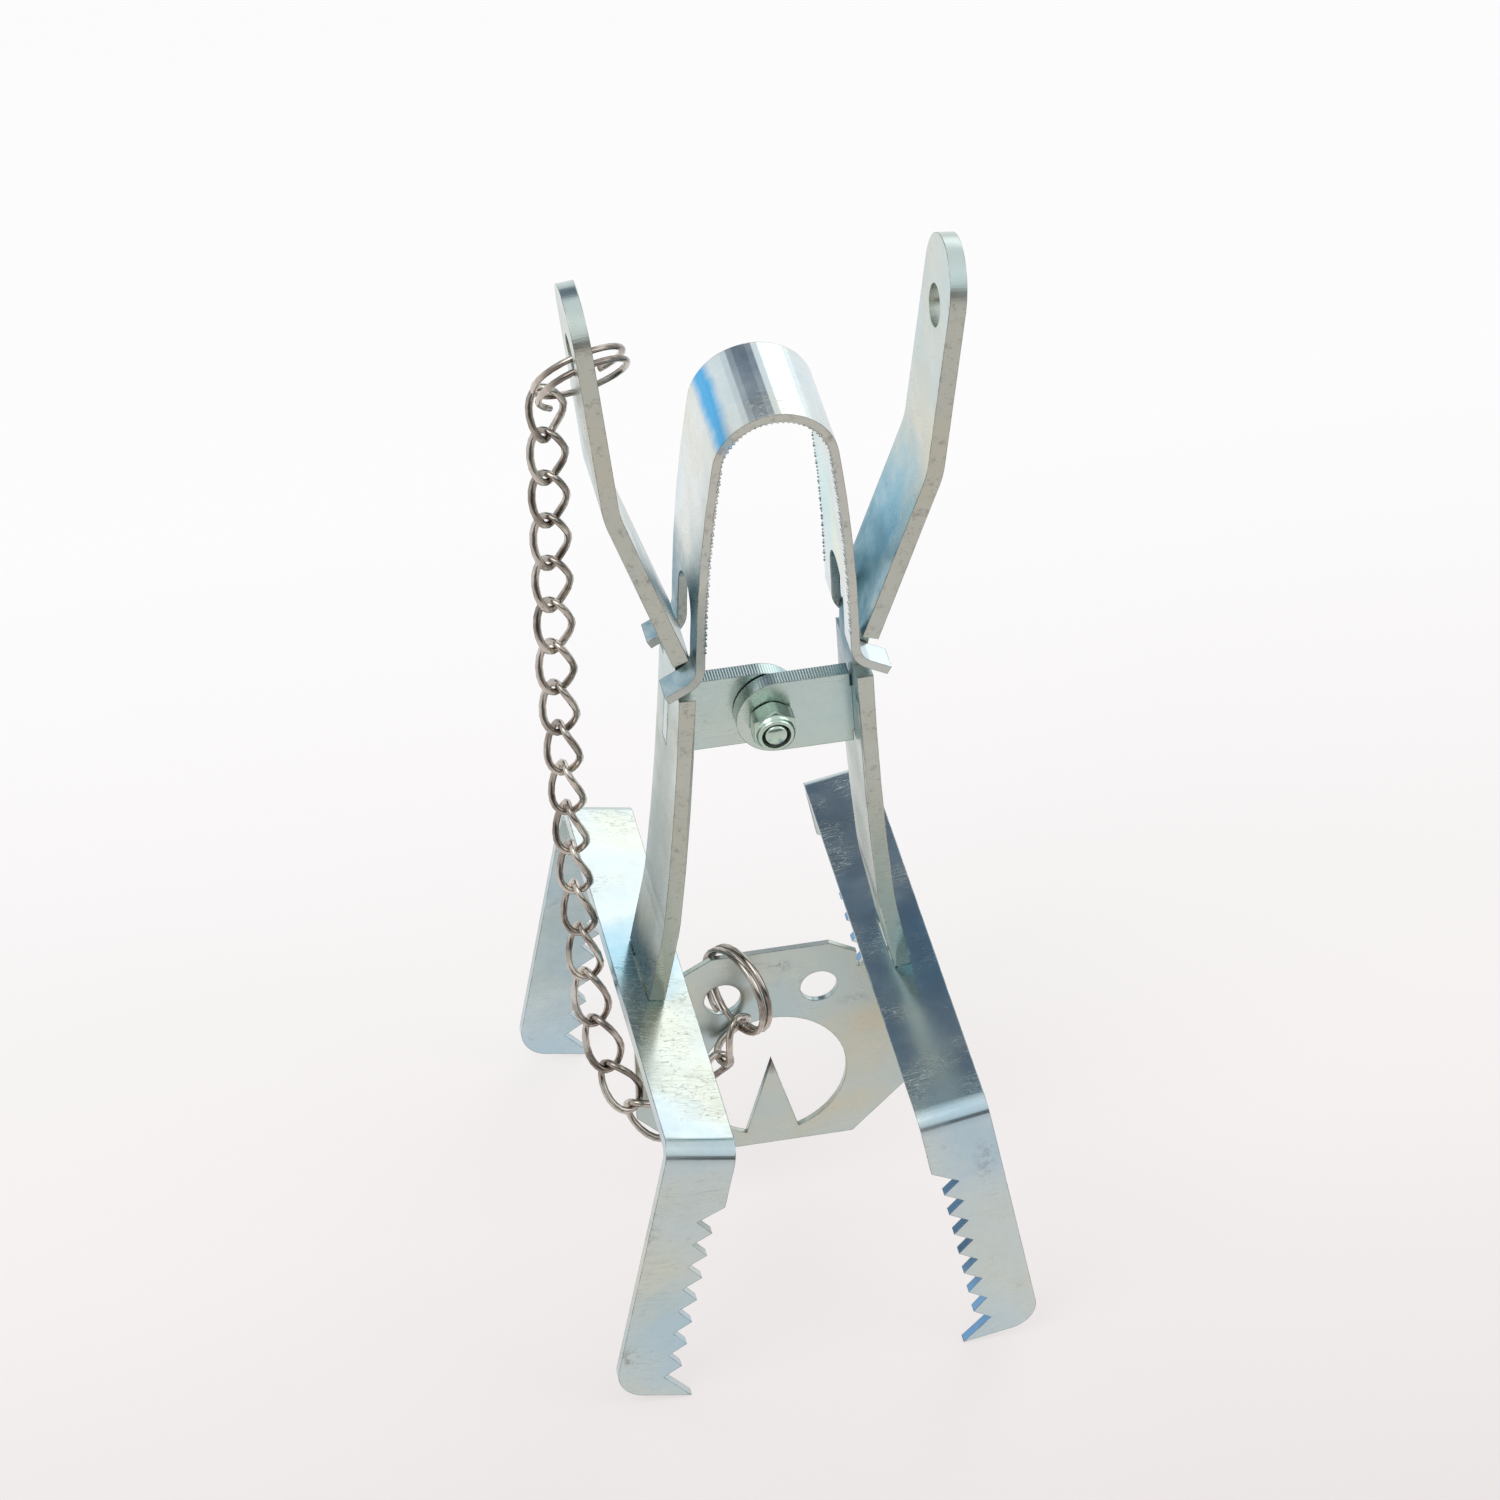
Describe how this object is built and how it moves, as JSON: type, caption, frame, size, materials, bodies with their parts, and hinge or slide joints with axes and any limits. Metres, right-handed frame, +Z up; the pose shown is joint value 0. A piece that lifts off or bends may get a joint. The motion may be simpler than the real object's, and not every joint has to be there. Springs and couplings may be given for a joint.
{
  "type": "mole trap",
  "caption": "Scissor mole trap set on toothed steel claws: hinged arms under an arched leaf spring, with a notched trigger plate on a chain of twisted links.",
  "frame": {"origin": "on the ground under the bolt, midway between the two arms, in the plane of the trigger plate's front face", "axes": "+Z up from the claws' points to the handles, +X towards the right arm as seen from the nut's side, +Y away from the nut, along the bolt"},
  "size_m": [0.0858, 0.1084, 0.2297],
  "materials": {
    "zinc_steel": "bright zinc plate, lightly scratched",
    "spring_steel": "smooth bright zinc plate",
    "nickel_wire": "bright warm nickel plate",
    "nylon": "dull"
  },
  "bodies": {
    "left_arm": {"left_arm": "zinc_steel", "left_lug": "zinc_steel", "left_jaw": "zinc_steel", "bolt": "zinc_steel", "lock_nut": "zinc_steel", "nut_insert": "nylon", "spring": "spring_steel", "upper_ring": "nickel_wire", "chain_link_01": "nickel_wire", "chain_link_02": "nickel_wire", "chain_link_03": "nickel_wire", "chain_link_04": "nickel_wire", "chain_link_05": "nickel_wire", "chain_link_06": "nickel_wire", "chain_link_07": "nickel_wire", "chain_link_08": "nickel_wire", "chain_link_09": "nickel_wire", "chain_link_10": "nickel_wire", "chain_link_11": "nickel_wire", "chain_link_12": "nickel_wire", "chain_link_13": "nickel_wire", "chain_link_14": "nickel_wire"},
    "right_arm": {"right_arm": "zinc_steel", "right_lug": "zinc_steel", "right_jaw": "zinc_steel"},
    "trigger_plate": {"trigger_plate": "zinc_steel", "lower_ring": "nickel_wire", "chain_link_21": "nickel_wire"},
    "slack_chain": {"chain_link_15": "nickel_wire", "chain_link_16": "nickel_wire", "chain_link_17": "nickel_wire", "chain_link_18": "nickel_wire"},
    "slack_chain_end": {"chain_link_19": "nickel_wire", "chain_link_20": "nickel_wire"}
  },
  "joints": [
    {"name": "arm_pivot", "type": "hinge", "parent": "left_arm", "child": "right_arm", "pos_m": [0, 0, 0.1258], "axis": [0, 1, 0], "range_deg": [0, 24], "deforming": ["spring"]},
    {"name": "plate_drop", "type": "hinge", "parent": "left_arm", "child": "trigger_plate", "pos_m": [-0.06342, 0.0006, 0.1097], "axis": [0, 1, 0], "range_deg": [0, 12]},
    {"name": "slack_swing", "type": "hinge", "parent": "left_arm", "child": "slack_chain", "pos_m": [-0.03568, 0.005, 0.06248], "axis": [0, 1, 0], "range_deg": [0, 32.08]},
    {"name": "slack_bend", "type": "hinge", "parent": "slack_chain", "child": "slack_chain_end", "pos_m": [-0.02234, -0.005, 0.0298], "axis": [0, 1, 0], "range_deg": [-6.96, 0]}
  ],
  "couplings": [
    {"joint": "plate_drop", "follows": "arm_pivot", "ratio": 0.5},
    {"joint": "slack_swing", "follows": "arm_pivot", "ratio": 1.3368},
    {"joint": "slack_bend", "follows": "arm_pivot", "ratio": -0.28999}
  ]
}
